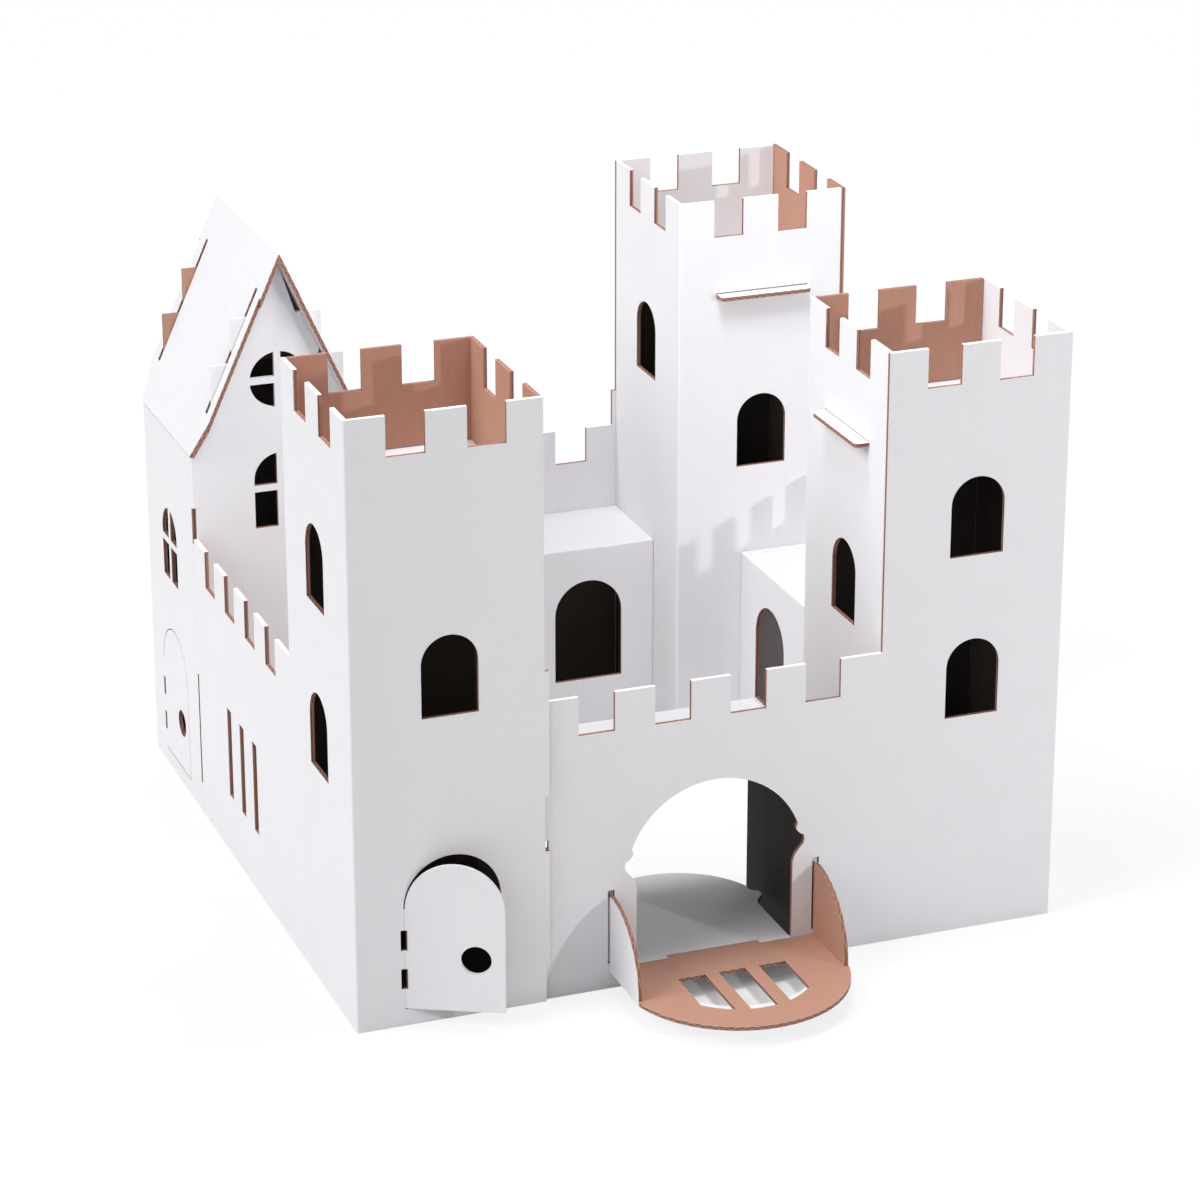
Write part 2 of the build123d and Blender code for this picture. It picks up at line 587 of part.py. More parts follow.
# Drawbridge sheet: round-nosed plate with a grate, two upright cheeks and the tabs that go into the curtain
PLATE_HALF = CHEEK_MIDDLE + BOARD / 2
BRIDGE_Y = FRONT_Y - 0.2
NOSE_SIDE_Y = NOSE_Y - math.sqrt(NOSE_R**2 - PLATE_HALF**2)
with BuildPart() as drawbridge:
    with BuildSketch(Plane.XY.offset(GATE_SILL - BOARD)):
        with BuildLine() as plate:
            Polyline(
                (GATE_X + PLATE_HALF, NOSE_SIDE_Y),
                (GATE_X + PLATE_HALF, BRIDGE_Y),
                (GATE_X - PLATE_HALF, BRIDGE_Y),
                (GATE_X - PLATE_HALF, NOSE_SIDE_Y),
            )
            ThreePointArc(
                (GATE_X - PLATE_HALF, NOSE_SIDE_Y),
                (GATE_X, NOSE_Y - NOSE_R),
                (GATE_X + PLATE_HALF, NOSE_SIDE_Y),
            )
        make_face()
        with Locations((GATE_X, BRIDGE_Y + (BRIDGE_TAB_OUT + 0.2) / 2)):
            Rectangle(BRIDGE_TAB_W, BRIDGE_TAB_OUT + 0.2)
        for i in (-1, 0, 1):
            low = GATE_X + i * GRATE_PITCH - GRATE_W / 2
            high = low + GRATE_W
            across = (low, (low + high) / 2, high)
            ends = [(x, NOSE_Y - math.sqrt(GRATE_R**2 - (x - GATE_X) ** 2)) for x in across]
            with BuildLine() as hole:
                Polyline(ends[2], (high, GRATE_BACK), (low, GRATE_BACK), ends[0])
                ThreePointArc(*ends)
            make_face(hole.edges(), mode=Mode.SUBTRACT)
    extrude(amount=BOARD)
    for x in (GATE_X - PLATE_HALF, GATE_X + PLATE_HALF - BOARD):
        with BuildSketch(side_plane(x)):
            foot = GATE_SILL - BOARD
            with BuildLine() as cheek:
                Polyline(
                    (BRIDGE_Y - CHEEK_R, GATE_SILL),
                    (BRIDGE_Y - CHEEK_R, foot),
                    (BRIDGE_Y, foot),
                    (BRIDGE_Y, CHEEK_TAB_LOW),
                    (BRIDGE_Y + CHEEK_TAB_OUT, CHEEK_TAB_LOW),
                    (BRIDGE_Y + CHEEK_TAB_OUT, CHEEK_TAB_HIGH),
                    (BRIDGE_Y, CHEEK_TAB_HIGH),
                    (BRIDGE_Y, GATE_SILL + CHEEK_R),
                )
                RadiusArc((BRIDGE_Y, GATE_SILL + CHEEK_R), (BRIDGE_Y - CHEEK_R, GATE_SILL), -CHEEK_R)
            make_face()
        extrude(amount=BOARD)
drawbridge.part.label = "drawbridge"
export_step(drawbridge.part, "parts/drawbridge.step")


def deck_tab(x, y, width, depth):
    """Tab of a deck on the open sketch, given by its middle."""
    with Locations((x, y)):
        Rectangle(width, depth)


# Deck of tower 1, with tabs in the two walls of its inner sheet
with BuildPart() as deck_1:
    with BuildSketch(Plane.XY.offset(DECK_TOP - BOARD)):
        low = BOARD + SEAM
        high = INNER_1_X - BOARD - SEAM
        back = TOWER_1 - BOARD - SEAM
        with Locations(((low + high) / 2, (low + back) / 2)):
            Rectangle(high - low, back - low)
        deck_tab(INNER_1_X - BOARD, MIDDLE_1, 2 * BOARD, DECK_TAB_W)
        deck_tab(INNER_1_X / 2, TOWER_1 - BOARD, DECK_TAB_W, 2 * BOARD)
    extrude(amount=BOARD)
deck_1.part.label = "deck_1"
export_step(deck_1.part, "parts/deck_1.step")

# Deck of tower 2, its left tab standing out of the tower's left wall
with BuildPart() as deck_2:
    with BuildSketch(Plane.XY.offset(DECK_TOP - BOARD)):
        low = RIGHT_X + BOARD + SEAM
        high = OUTER_X - SEAM
        front = INNER_2_Y
        back = TOWER_2_BACK - BOARD - SEAM
        with Locations(((low + high) / 2, (front + back) / 2)):
            Rectangle(high - low, back - front)
        with Locations(((low + RIGHT_X - DECK_TAB_OUT) / 2, MIDDLE_2)):
            RectangleRounded(low - RIGHT_X + DECK_TAB_OUT + DECK_TAB_ROOT, DECK_TAB_W, DECK_TAB_ROUND)
        deck_tab(OUTER_X, MIDDLE_2, 2 * BOARD, DECK_TAB_W)
    extrude(amount=BOARD)
deck_2.part.label = "deck_2"
export_step(deck_2.part, "parts/deck_2.step")

# Deck of the keep, its front tab standing out of the keep's front wall
with BuildPart() as deck_3:
    with BuildSketch(Plane.XY.offset(DECK_TOP - BOARD)):
        low = RIGHT_X + BOARD + SEAM
        high = OUTER_X - SEAM
        front = BACK_Y + BOARD + SEAM
        back = INNER_BACK_Y - SEAM
        with Locations(((low + high) / 2, (front + back) / 2)):
            Rectangle(high - low, back - front)
        with Locations((TOWER_2_MIDDLE, (front + BACK_Y - DECK_TAB_OUT) / 2)):
            RectangleRounded(DECK_TAB_W, front - BACK_Y + DECK_TAB_OUT + DECK_TAB_ROOT, DECK_TAB_ROUND)
        deck_tab(TOWER_2_MIDDLE, INNER_BACK_Y, DECK_TAB_W, 2 * BOARD)
    extrude(amount=BOARD)
deck_3.part.label = "deck_3"
export_step(deck_3.part, "parts/deck_3.step")
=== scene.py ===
"""A white cardboard play castle: die-cut corrugated sheets, folded and slotted together, in a pale studio."""

import math

import bpy
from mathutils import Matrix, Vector


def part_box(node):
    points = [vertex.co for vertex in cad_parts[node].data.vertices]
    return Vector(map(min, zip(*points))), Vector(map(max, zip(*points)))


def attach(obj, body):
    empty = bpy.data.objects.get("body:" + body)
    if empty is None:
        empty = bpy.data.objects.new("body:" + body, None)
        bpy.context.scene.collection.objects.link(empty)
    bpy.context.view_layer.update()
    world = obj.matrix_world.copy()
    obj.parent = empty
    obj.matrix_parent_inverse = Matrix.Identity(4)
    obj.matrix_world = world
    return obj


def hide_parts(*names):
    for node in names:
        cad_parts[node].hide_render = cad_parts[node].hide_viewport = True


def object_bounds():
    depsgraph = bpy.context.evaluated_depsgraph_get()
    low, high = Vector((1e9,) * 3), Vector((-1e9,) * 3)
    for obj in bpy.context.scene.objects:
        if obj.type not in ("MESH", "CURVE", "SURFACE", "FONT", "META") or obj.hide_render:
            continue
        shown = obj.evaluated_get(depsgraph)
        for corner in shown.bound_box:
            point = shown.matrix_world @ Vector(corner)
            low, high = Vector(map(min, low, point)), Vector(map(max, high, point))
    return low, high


bl_info = {
    "name": "Cardboard Castle",
    "version": (1, 0, 0),
    "blender": (4, 5, 0),
    "location": "View3D > Sidebar > Castle",
    "description": "Dresses the folded sheets of a cardboard play castle in liner paper and fluted cut edges",
    "category": "Object",
}

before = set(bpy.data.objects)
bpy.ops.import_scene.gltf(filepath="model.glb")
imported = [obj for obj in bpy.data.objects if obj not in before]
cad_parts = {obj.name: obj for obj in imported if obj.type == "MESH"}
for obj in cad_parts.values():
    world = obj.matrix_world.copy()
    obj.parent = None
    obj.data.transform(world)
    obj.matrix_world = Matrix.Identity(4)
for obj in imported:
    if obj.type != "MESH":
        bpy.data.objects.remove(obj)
CAD_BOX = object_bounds()

MM = 0.001

# the board, and the heights and folds that the dressing goes by
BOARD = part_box("keep_right")[1].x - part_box("keep_right")[0].x
TOWER_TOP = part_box("left_wall")[1].z
# top of the low walls' merlons
WALL_TOP = 215 * MM
DECK_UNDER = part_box("deck_1")[0].z
# end of the house's closed room, below the gables' crow steps
STEP_FOOT = 300 * MM
ROOF_SLOPE = math.tan(math.radians(65.56))
DOOR_HINGE = 33.3 * MM
DOOR_ANGLE = math.radians(27)
# how near a point counts as lying on a plane, and how wide the gaps in a joint are
NEAR = 0.05 * MM
JOINT_GAP = 0.4 * MM

# finishes in the order of the face slots; the fourth is the white liner lightened into a painted highlight,
# worn by the crowns and by the fronts that read brighter
FINISHES = (
    "liner_white", "liner_kraft", "cut_edge", "pressed_top", "liner_grey", "liner_deep", "liner_black",
)
WHITE, KRAFT, EDGE, PAINTED_HIGHLIGHT, SHADED, DIM, GATE_SHADE = range(len(FINISHES))

LEFT = Vector((-1, 0, 0))
RIGHT = Vector((1, 0, 0))
FRONT = Vector((0, -1, 0))
BACK = Vector((0, 1, 0))
UP = Vector((0, 0, 1))

# floor, and the round patch of it that is seen through the grate
FLOOR_SIZE = 40.0
FLOOR_MIDDLE = (0.25, 0.25)
GRATE_SIDE = 13 * MM
GRATE_BEHIND = 2 * MM
GRATE_REACH = 56 * MM

# lamps, placed and aimed from the castle's middle, and the spread of the distant ones
KEY_PLACE = Vector((1.1, -1.53, 0.38))
KEY_SIZE = 0.05
YARD_PLACE = Vector((0.0, -0.14, 0.8))
YARD_AIM = Vector((0.02, 0.16, -0.1))
YARD_SIZE = 0.3
FILL_FROM = Vector((-0.8, -0.04, 0.6))
RIM_FROM = Vector((0.5, 0.8, 0.45))
SOFTNESS = math.radians(40)

# paper finishes: colour setting, brightness of dark and light clouds, strength of the fibres
PAPERS = {
    WHITE: ("white", 0.955, 1.03, 0.2),
    KRAFT: ("kraft", 0.86, 1.12, 0.4),
    # painted highlight: the white liner lightened, for the crowns and the brighter fronts
    PAINTED_HIGHLIGHT: ("white", 1.1, 1.16, 0.1),
    # painted shade: the white liner darkened
    SHADED: ("white", 0.85, 0.93, 0.2),
    # painted shade inside the closed rooms
    DIM: ("deep", 0.85, 1.15, 0.4),
    # painted shade in the gateway, darker still
    GATE_SHADE: ("deep", 0.11, 0.16, 0.4),
}


class CastleBoardSettings(bpy.types.PropertyGroup):
    """Colours and fluting of the corrugated board"""

    white: bpy.props.FloatVectorProperty(
        name="White liner", description="Colour of the bleached outer paper", subtype="COLOR", size=3,
        min=0.0, max=1.0, default=(0.725, 0.72, 0.745),
    )
    kraft: bpy.props.FloatVectorProperty(
        name="Kraft liner", description="Colour of the brown inner paper", subtype="COLOR", size=3,
        min=0.0, max=1.0, default=(0.47, 0.252, 0.183),
    )
    medium: bpy.props.FloatVectorProperty(
        name="Fluting", description="Colour of the wavy paper inside the board", subtype="COLOR", size=3,
        min=0.0, max=1.0, default=(0.37, 0.19, 0.145),
    )
    # painted shade: the colour that stands in for the dark inside the closed rooms and on their floor
    deep: bpy.props.FloatVectorProperty(
        name="Inside of rooms", description="Colour of the paper in the dark of the closed rooms",
        subtype="COLOR", size=3, min=0.0, max=1.0, default=(0.13, 0.11, 0.095),
    )
    flute_pitch: bpy.props.FloatProperty(
        name="Flute pitch", description="Distance from one flute to the next", unit="LENGTH",
        min=0.003, max=0.01, default=0.0064,
    )
    fold_radius: bpy.props.FloatProperty(
        name="Fold radius", description="Rounding of the liner at a crease", unit="LENGTH",
        min=0.0003, max=0.003, default=0.0014,
    )
    relief: bpy.props.FloatProperty(
        name="Relief", description="How strongly the paper's fibres and flutes stand out", min=0.0, max=1.0,
        default=0.35,
    )


class CastleStageSettings(bpy.types.PropertyGroup):
    """Floor, lamps and camera of the studio"""

    floor: bpy.props.FloatVectorProperty(
        name="Floor", description="Colour of the floor", subtype="COLOR", size=3, min=0.0, max=1.0,
        default=(0.92, 0.92, 0.92),
    )
    bounce: bpy.props.FloatVectorProperty(
        name="Floor bounce", description="Colour of the light that the floor throws back", subtype="COLOR",
        size=3, min=0.0, max=1.0, default=(0.7, 0.7, 0.7),
    )
    wash: bpy.props.FloatProperty(
        name="Floor wash", description="How far the floor is washed out to white", min=0.0, max=1.0,
        default=0.76,
    )
    ambient: bpy.props.FloatProperty(
        name="Ambient light", description="Strength of the light from all round", min=0.0, max=2.0,
        default=0.45,
    )
    key: bpy.props.FloatProperty(
        name="Low right lamp", description="Power of the lamp that casts the visible shadows",
        min=0.0, max=50.0, default=8.8,
    )
    fill: bpy.props.FloatProperty(
        name="Left lamp", description="Strength of the lamp that brightens the left faces", min=0.0, max=10.0,
        default=2.3,
    )
    rim: bpy.props.FloatProperty(
        name="Back lamp", description="Strength of the lamp that keeps the back from going dull", min=0.0,
        max=10.0, default=1.3,
    )
    yard: bpy.props.FloatProperty(
        name="Courtyard lamp", description="Power of the lamp that hangs over the courtyard", min=0.0,
        max=50.0, default=4.3,
    )
    lens: bpy.props.FloatProperty(
        name="Lens", description="Focal length of the camera", unit="CAMERA", min=20.0, max=300.0,
        default=123.3,
    )
    camera_place: bpy.props.FloatVectorProperty(
        name="Camera place", description="Where the camera stands", subtype="TRANSLATION", size=3,
        unit="LENGTH", default=(-0.6993, -2.3072, 1.2542),
    )
    camera_turn: bpy.props.FloatVectorProperty(
        name="Camera turn", description="Tilt, roll and heading of the camera", subtype="EULER", size=3,
        default=(math.radians(90 - 21.51), 0.0, math.radians(-20.65)),
    )


# Materials


def new_material(name, roughness, specular):
    """Material with its node tree emptied down to a shader and an output."""
    material = bpy.data.materials.new(name)
    material.use_nodes = True
    tree = material.node_tree
    tree.nodes.clear()
    shader = tree.nodes.new("ShaderNodeBsdfPrincipled")
    shader.inputs["Roughness"].default_value = roughness
    shader.inputs["Specular IOR Level"].default_value = specular
    output = tree.nodes.new("ShaderNodeOutputMaterial")
    tree.links.new(shader.outputs["BSDF"], output.inputs["Surface"])
    return material, tree, shader


def feed(tree, value, socket):
    """Links another node's output to a socket, or sets the socket to a plain value."""
    if isinstance(value, bpy.types.NodeSocket):
        tree.links.new(value, socket)
    else:
        socket.default_value = value


def node(tree, kind, **inputs):
    """Node of that kind, its inputs given by name or by an underscore and their number."""
    made = tree.nodes.new(kind)
    for name, value in inputs.items():
        feed(tree, value, made.inputs[int(name[1:])] if name[0] == "_" else made.inputs[name])
    return made


def maths(tree, operation, a, b=0.0, c=0.0):
    """Output of a Math node."""
    made = node(tree, "ShaderNodeMath", _0=a, _1=b, _2=c)
    made.operation = operation
    return made.outputs[0]


def ramp(tree, value, start, end, low, high):
    """The value taken from the span start to end over to the span low to high, and held beyond it."""
    made = node(tree, "ShaderNodeMapRange", Value=value, _1=start, _2=end, _3=low, _4=high)
    return made.outputs[0]


def mixed(tree, factor, a, b):
    """Colour between a and b."""
    made = tree.nodes.new("ShaderNodeMix")
    made.data_type = "RGBA"
    for name, kind, value in (("Factor", "VALUE", factor), ("A", "RGBA", a), ("B", "RGBA", b)):
        feed(tree, value, next(s for s in made.inputs if s.name == name and s.type == kind))
    return next(s for s in made.outputs if s.type == "RGBA")


def rgba(colour, scale=1.0):
    """Colour scaled in brightness, with an alpha."""
    return (colour[0] * scale, colour[1] * scale, colour[2] * scale, 1.0)


def seen_directly(tree):
    """One for what the camera sees, straight or in a mirror or glass, and nought for scattered light."""
    path = tree.nodes.new("ShaderNodeLightPath").outputs
    mirrored = maths(tree, "MAXIMUM", path["Is Glossy Ray"], path["Is Transmission Ray"])
    return maths(tree, "MAXIMUM", path["Is Camera Ray"], mirrored)


def noise(tree, place, scale, detail=3.0, rough=0.55):
    """Value of a noise texture."""
    made = node(tree, "ShaderNodeTexNoise", Vector=place, Scale=scale, Detail=detail, Roughness=rough)
    return made.outputs[0]


def stretched(tree, place, scale):
    """Coordinates scaled along each axis."""
    return node(tree, "ShaderNodeMapping", Vector=place, Scale=scale).outputs[0]


def paper_material(name, settings, colour, dark, light, streak):
    """Liner paper: cloudy formation, short fibres along the flutes, specks and faint flute lines."""
    material, tree, shader = new_material(name, 0.72, 0.25)
    coords = tree.nodes.new("ShaderNodeTexCoord")
    place = coords.outputs["Object"]
    board = coords.outputs["UV"]
    cloud = noise(tree, place, scale=26.0, detail=4.0)
    grain = noise(tree, place, scale=1400.0, detail=2.0, rough=0.7)
    along_flutes = stretched(tree, board, (1.6, 0.22, 1.0))
    fibre = noise(tree, along_flutes, scale=1.0, detail=3.0, rough=0.6)
    across = node(tree, "ShaderNodeSeparateXYZ", Vector=board).outputs["X"]
    phase = maths(tree, "MULTIPLY", across, 2 * math.pi / (settings.flute_pitch / MM))
    flute = maths(tree, "SINE", phase)
    tone = maths(tree, "MULTIPLY_ADD", cloud, 0.45, maths(tree, "MULTIPLY", fibre, streak))
    tone = maths(tree, "MULTIPLY_ADD", grain, 0.25, tone)
    tone = maths(tree, "MULTIPLY_ADD", flute, 0.035, tone)
    clouds = ramp(tree, tone, 0.3, 0.8 + streak, 0.0, 1.0)
    paint = mixed(tree, clouds, rgba(colour, dark), rgba(colour, light))
    dust = noise(tree, place, scale=520.0, detail=1.0, rough=0.3)
    speck = maths(tree, "GREATER_THAN", dust, 0.79)
    paint = mixed(tree, maths(tree, "MULTIPLY", speck, 0.28), paint, rgba(colour, dark * 0.72))
    tree.links.new(paint, shader.inputs["Base Color"])
    height = maths(tree, "MULTIPLY_ADD", flute, 0.5, maths(tree, "MULTIPLY", grain, 0.6))
    height = maths(tree, "MULTIPLY_ADD", fibre, 0.5, height)
    bump = node(tree, "ShaderNodeBump", Height=height, Strength=settings.relief, Distance=0.00012)
    tree.links.new(bump.outputs[0], shader.inputs["Normal"])
    tree.links.new(ramp(tree, fibre, 0.2, 0.8, 0.66, 0.8), shader.inputs["Roughness"])
    return material


def edge_material(name, settings):
    """Cut edge of the board: the two liners and the wavy medium between them, with painted shade in the
    hollows.
    """
    material, tree, shader = new_material(name, 0.85, 0.15)
    coords = tree.nodes.new("ShaderNodeTexCoord")
    split = node(tree, "ShaderNodeSeparateXYZ", Vector=coords.outputs["UV"])
    along, depth = split.outputs["X"], split.outputs["Y"]
    thick = BOARD / MM
    place = coords.outputs["Object"]
    ragged = maths(tree, "MULTIPLY", noise(tree, place, scale=700.0, detail=2.0), 0.5)
    phase = maths(tree, "MULTIPLY", along, 2 * math.pi / (settings.flute_pitch / MM))
    turn = maths(tree, "MULTIPLY_ADD", ragged, 0.8, phase)
    wave = maths(tree, "MULTIPLY_ADD", maths(tree, "SINE", turn), 0.36 * thick, 0.5 * thick)
    off = maths(tree, "ABSOLUTE", maths(tree, "SUBTRACT", depth, wave))
    wall = ramp(tree, off, 0.34, 0.62, 1.0, 0.0)
    # painted shade: the hollows between the medium's waves are darkened
    inside = mixed(tree, wall, rgba(settings.medium, 0.55), rgba(settings.medium, 1.2))
    near_white = ramp(tree, depth, 0.16, 0.3, 1.0, 0.0)
    near_kraft = ramp(tree, depth, thick - 0.52, thick - 0.34, 0.0, 1.0)
    paint = mixed(tree, near_kraft, inside, rgba(settings.kraft, 0.8))
    paint = mixed(tree, near_white, paint, rgba(settings.white, 0.9))
    fray = noise(tree, place, scale=1800.0, detail=3.0, rough=0.7)
    paint = mixed(tree, maths(tree, "MULTIPLY", fray, 0.3), paint, rgba(settings.medium, 0.8))
    tree.links.new(paint, shader.inputs["Base Color"])
    height = maths(tree, "MULTIPLY_ADD", fray, 0.3, wall)
    bump = node(tree, "ShaderNodeBump", Height=height, Strength=0.6, Distance=0.0003)
    tree.links.new(bump.outputs[0], shader.inputs["Normal"])
    return material


def board_materials():
    """The board's finishes in the order of the face slots, made once."""
    if FINISHES[0] not in bpy.data.materials:
        settings = bpy.context.scene.castle_board
        edge_material(FINISHES[EDGE], settings)
        for slot, (colour, dark, light, streak) in PAPERS.items():
            paper_material(FINISHES[slot], settings, getattr(settings, colour), dark, light, streak)
    return [bpy.data.materials[name] for name in FINISHES]


# Sheets


class Panel:
    """One flat panel of a folded sheet, from its outer face inwards by the board's thickness."""

    def __init__(
        self, outward, place, flute=UP, outer=WHITE, inner=KRAFT, top=EDGE, edge=EDGE, edge_from=0.0,
    ):
        self.outward = outward.normalized()
        self.place = Vector(place)
        self.flute = flute
        self.across = self.outward.cross(flute).normalized()
        self.outer, self.inner, self.top = outer, inner, top
        self.edge, self.edge_from = edge, edge_from

    def depth(self, point):
        """How far a point lies under the outer face."""
        return (self.place - point).dot(self.outward)

    def holds(self, points):
        """Whether the points lie inside the panel's thickness."""
        return all(-NEAR < self.depth(p) < BOARD + NEAR for p in points)


class Room:
    """A closed room, whose inside walls are painted with shade."""

    def __init__(self, low, high):
        self.low, self.high = Vector(low), Vector(high)

    def holds(self, points):
        """Whether the points lie in the room, on its walls or in a joint's gap beside it."""
        return all(
            low - JOINT_GAP < c < high + JOINT_GAP
            for point in points
            for low, c, high in zip(self.low, point, self.high)
        )

    def cut(self, piece):
        """Cuts a sheet along the room's faces that run through it."""
        corners = [Vector(c) for c in piece.bound_box]
        for axis, across in enumerate((RIGHT, BACK, UP)):
            start, end = min(c[axis] for c in corners), max(c[axis] for c in corners)
            for place in (self.low, self.high):
                if start + NEAR < place[axis] < end - NEAR:
                    cut_at(piece, place, across)


def closed_rooms():
    """The rooms under the decks, in the house, in the hall and behind the gate."""
    floor = CAD_BOX[0].z
    tower_1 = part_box("tower_1_inner")[1]
    tower_2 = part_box("tower_2_inner")
    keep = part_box("keep_front")
    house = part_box("house")
    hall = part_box("hall")
    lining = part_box("gate_lining")
    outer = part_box("keep_right")
    curtain_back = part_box("front_wall")[0].y + BOARD
    inner_right = outer[0].x
    inner_back = outer[1].y - BOARD
    return (
        Room((BOARD, BOARD, floor), (tower_1.x - BOARD, tower_1.y - BOARD, DECK_UNDER)),
        Room((tower_2[0].x + BOARD, curtain_back, floor), (inner_right, tower_2[1].y - BOARD, DECK_UNDER)),
        Room((keep[0].x + BOARD, keep[0].y + BOARD, floor), (inner_right, inner_back, DECK_UNDER)),
        Room((BOARD, house[0].y + BOARD, floor), (house[1].x - BOARD, inner_back, STEP_FOOT)),
        Room((hall[0].x, hall[0].y + BOARD, floor), (hall[1].x, inner_back, hall[1].z - BOARD)),
        Room(
            (lining[0].x + BOARD, curtain_back, floor),
            (lining[1].x - BOARD, lining[1].y, lining[1].z - BOARD),
        ),
    )


def deselect_all():
    """Leaves nothing selected in object mode."""
    bpy.ops.object.select_all(action="DESELECT")


def sheet_copy(node_name):
    """A copy of a sheet's solid, merged and cleared of its triangles' inner edges, ready to be dressed."""
    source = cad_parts[node_name]
    piece = bpy.data.objects.new(node_name + "_board", source.data.copy())
    bpy.context.scene.collection.objects.link(piece)
    deselect_all()
    piece.select_set(True)
    bpy.context.view_layer.objects.active = piece
    piece.data.materials.clear()
    for material in board_materials():
        piece.data.materials.append(material)
    bpy.ops.object.mode_set(mode="EDIT")
    bpy.ops.mesh.select_mode(type="VERT")
    bpy.ops.mesh.select_all(action="SELECT")
    bpy.ops.mesh.remove_doubles(threshold=0.01 * MM)
    bpy.ops.mesh.dissolve_limited(angle_limit=math.radians(0.5))
    bpy.ops.object.mode_set(mode="OBJECT")
    bpy.ops.mesh.customdata_custom_splitnormals_clear()
    return piece


def cut_at(piece, place, across):
    """Cuts every face along a plane, so that no face runs from one panel into the next."""
    bpy.ops.object.mode_set(mode="EDIT")
    bpy.ops.mesh.select_all(action="SELECT")
    bpy.ops.mesh.bisect(plane_co=place, plane_no=across, threshold=0.002 * MM)
    bpy.ops.object.mode_set(mode="OBJECT")


def dress(piece, panels):
    """Gives each face its liner or cut edge, and lays out the board's own coordinates in millimetres."""
    mesh = piece.data
    while mesh.uv_layers:
        mesh.uv_layers.remove(mesh.uv_layers[0])
    board_map = mesh.uv_layers.new(name="board")
    for face in mesh.polygons:
        points = [mesh.vertices[i].co for i in face.vertices]
        panel, slot = face_of(panels, face.normal, points)
        face.material_index = slot
        for loop in face.loop_indices:
            point = mesh.vertices[mesh.loops[loop].vertex_index].co
            along = point.dot(panel.across) / MM
            if slot == EDGE:
                board_map.data[loop].uv = (along, panel.depth(point) / MM)
            else:
                board_map.data[loop].uv = (along, point.dot(panel.flute) / MM)


def face_of(panels, normal, points):
    """The panel that a face belongs to and its finish."""
    inside = [room for room in ROOMS if room.holds(points)]
    for panel in panels:
        facing = normal.dot(panel.outward)
        # faces inside the rooms get painted shade: the hall's front faces and the inner faces of the rooms,
        # darkest in the gateway
        if facing > 0.99 and all(abs(panel.depth(p)) < NEAR for p in points):
            return panel, DIM if HALL in inside else panel.outer
        if facing < -0.99 and all(abs(panel.depth(p) - BOARD) < NEAR for p in points):
            return panel, GATE_SHADE if GATEWAY in inside else DIM if inside else panel.inner
    held = [p for p in panels if p.holds(points)] or panels
    panel = min(held, key=lambda p: abs(normal.dot(p.outward)))
    # cut edges inside the rooms, but for the house and the gateway, get painted shade
    if any(room in inside for room in ROOMS if room not in (HOUSE, GATEWAY)):
        return panel, DIM
    if panel.edge != EDGE and all(p.z > panel.edge_from for p in points):
        return panel, panel.edge
    # the crowns of the towers and low walls are white, and where they take the lighter white finish they
    # carry a painted highlight
    at_crown = any(abs(points[0].z - z) < NEAR for z in (TOWER_TOP, WALL_TOP))
    crown = normal.z > 0.99 and panel.flute == UP and at_crown
    return panel, panel.top if crown else EDGE


def round_folds(piece, folds):
    """Rounds the outer liner along each fold line, given as a point on it and its direction."""
    radius = bpy.context.scene.castle_board.fold_radius
    for place, direction in folds:
        place, direction = Vector(place), Vector(direction).normalized()
        bpy.ops.object.mode_set(mode="EDIT")
        bpy.ops.mesh.select_mode(type="EDGE")
        bpy.ops.mesh.select_all(action="DESELECT")
        bpy.ops.object.mode_set(mode="OBJECT")
        mesh = piece.data
        for edge in mesh.edges:
            ends = [mesh.vertices[i].co - place for i in edge.vertices]
            edge.select = all(e.cross(direction).length < NEAR for e in ends)
        bpy.ops.object.mode_set(mode="EDIT")
        bpy.ops.mesh.bevel(offset=radius, segments=6, profile=0.5, affect="EDGES")
        bpy.ops.object.mode_set(mode="OBJECT")


def finish_sheet(piece, panels, *nodes):
    """Smooths the rounded folds, keeps the panels flat and puts the piece in its node's place."""
    deselect_all()
    piece.select_set(True)
    bpy.context.view_layer.objects.active = piece
    bpy.ops.object.shade_smooth_by_angle(angle=math.radians(20))
    for face in piece.data.polygons:
        if any(abs(face.normal.dot(panel.outward)) > 0.9999 for panel in panels):
            face.use_smooth = False
    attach(piece, "root")
    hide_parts(*nodes)
    deselect_all()


def make_sheet(node_name, panels, cuts=(), folds=()):
    """Dresses one sheet from its solid."""
    piece = sheet_copy(node_name)
    for place, across in cuts:
        cut_at(piece, place, across)
    for room in ROOMS:
        room.cut(piece)
    dress(piece, panels)
    round_folds(piece, folds)
    finish_sheet(piece, panels, node_name)
    return piece


def near_corner(node_name):
    """Lowest corner of a node's box."""
    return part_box(node_name)[0]


def far_corner(node_name):
    """Highest corner of a node's box."""
    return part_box(node_name)[1]


ROOMS = closed_rooms()
HOUSE, HALL, GATEWAY = ROOMS[3:]


class CastleOperator:
    """What the castle's operators share."""

    bl_options = {"REGISTER", "UNDO"}


